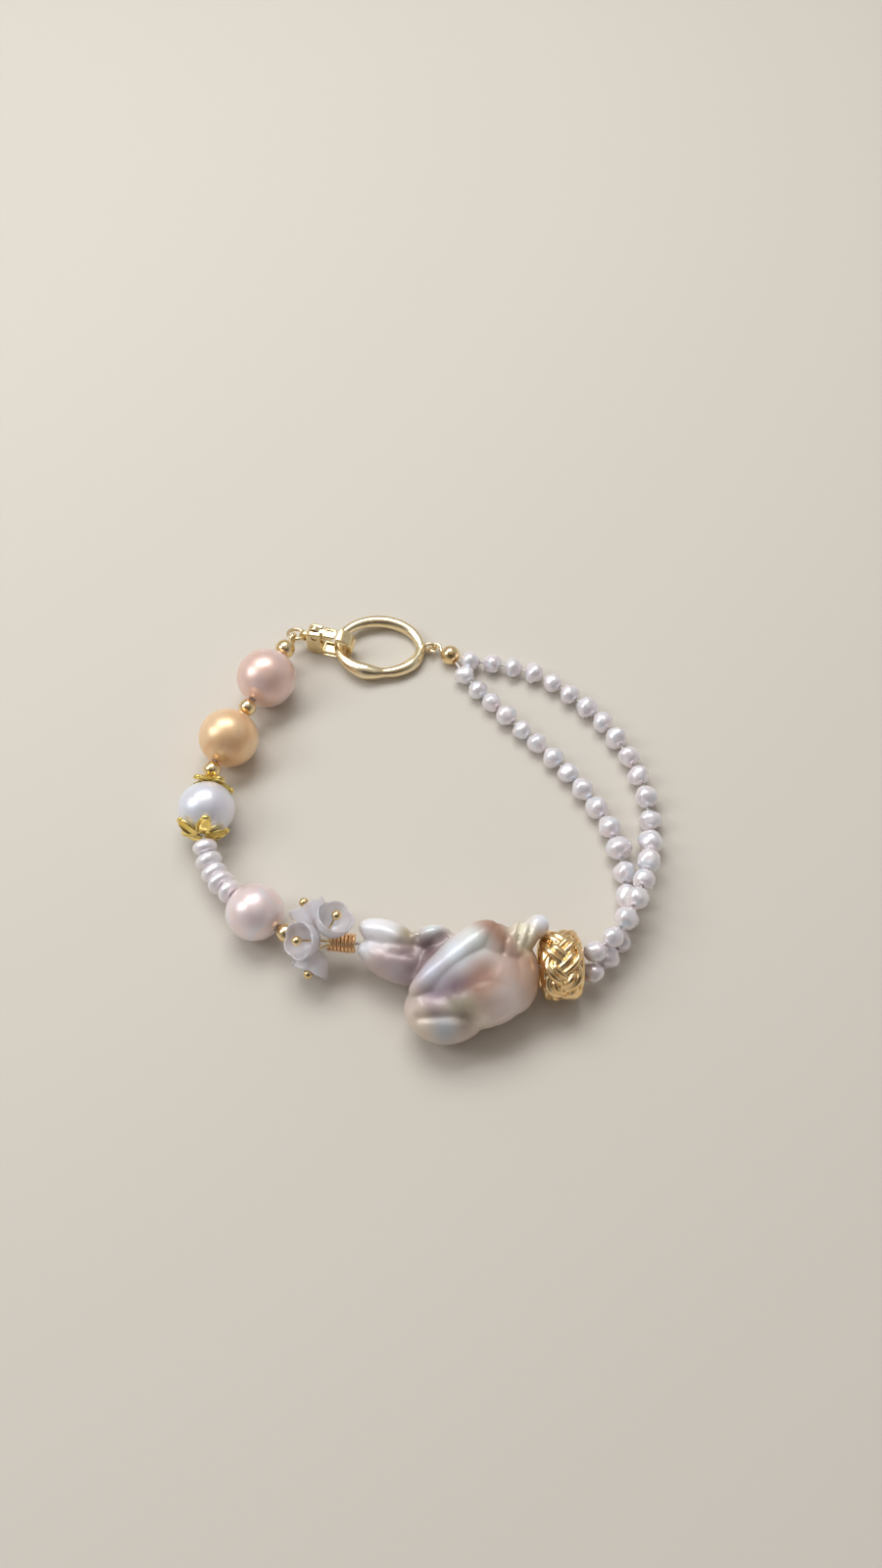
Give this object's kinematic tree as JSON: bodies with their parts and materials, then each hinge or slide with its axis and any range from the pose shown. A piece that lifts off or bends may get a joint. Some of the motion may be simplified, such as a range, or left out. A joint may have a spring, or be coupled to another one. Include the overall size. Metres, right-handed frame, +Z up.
{
  "type": "pearl bracelet",
  "caption": "Pearl bracelet in a closed loop with a large baroque pearl, a woven metal slide, bell flowers, capped pearls, a double seed-pearl strand and a hook clasp in an oval ring.",
  "frame": {"origin": "middle of the bracelet's box in plan, on the surface that it lies on", "axes": "+Z up from that surface, +Y towards the clasp, +X towards the two strands"},
  "size_m": [0.0664, 0.0682, 0.011],
  "materials": {
    "polished_gold": "polished gold plating",
    "orange_gold_wire": "polished orange-gold wire",
    "white_pearl": "lustrous white nacre with a faint pink and blue overtone",
    "pink_pearl": "lustrous pink-mauve nacre",
    "golden_pearl": "lustrous golden champagne nacre",
    "baroque_nacre": "glossy mauve, brown and cream nacre with green and pink orient",
    "lilac_bell": "translucent lilac-white, glossy",
    "white_thread": "twisted stringing thread"
  },
  "bodies": {
    "bracelet": {"baroque_pearl": "baroque_nacre", "bead_cap_lower": "polished_gold", "bead_cap_upper": "polished_gold", "button_pearl_1": "white_pearl", "button_pearl_2": "white_pearl", "button_pearl_3": "white_pearl", "button_pearl_4": "white_pearl", "button_pearl_5": "white_pearl", "clasp_body": "polished_gold", "clasp_link": "polished_gold", "clasp_pin": "polished_gold", "end_bead_left": "polished_gold", "end_bead_right": "polished_gold", "end_loop_left": "polished_gold", "end_loop_right": "polished_gold", "flower_bell_1": "lilac_bell", "flower_bell_2": "lilac_bell", "flower_bell_3": "lilac_bell", "flower_bell_4": "lilac_bell", "flower_pin_1": "polished_gold", "flower_pin_2": "polished_gold", "flower_pin_3": "polished_gold", "flower_pin_4": "polished_gold", "gold_bead_cap": "polished_gold", "gold_bead_flower": "polished_gold", "gold_bead_mid": "polished_gold", "oval_ring": "polished_gold", "round_pearl_golden": "golden_pearl", "round_pearl_pink": "pink_pearl", "round_pearl_white_a": "white_pearl", "round_pearl_white_b": "white_pearl", "strand_inner": "white_pearl", "strand_outer": "white_pearl", "thread": "white_thread", "wire_coil": "orange_gold_wire", "woven_ring": "polished_gold"},
    "lever": {"clasp_lever": "polished_gold"}
  },
  "joints": [
    {"name": "clasp_lever", "type": "hinge", "parent": "bracelet", "child": "lever", "pos_m": [-0.01586, 0.0293, 0.0036], "axis": [0.2551, 0.9669, 0], "range_deg": [0, 28], "stiffness_Nm_per_rad": 0.002, "springref_deg": -11.46}
  ]
}
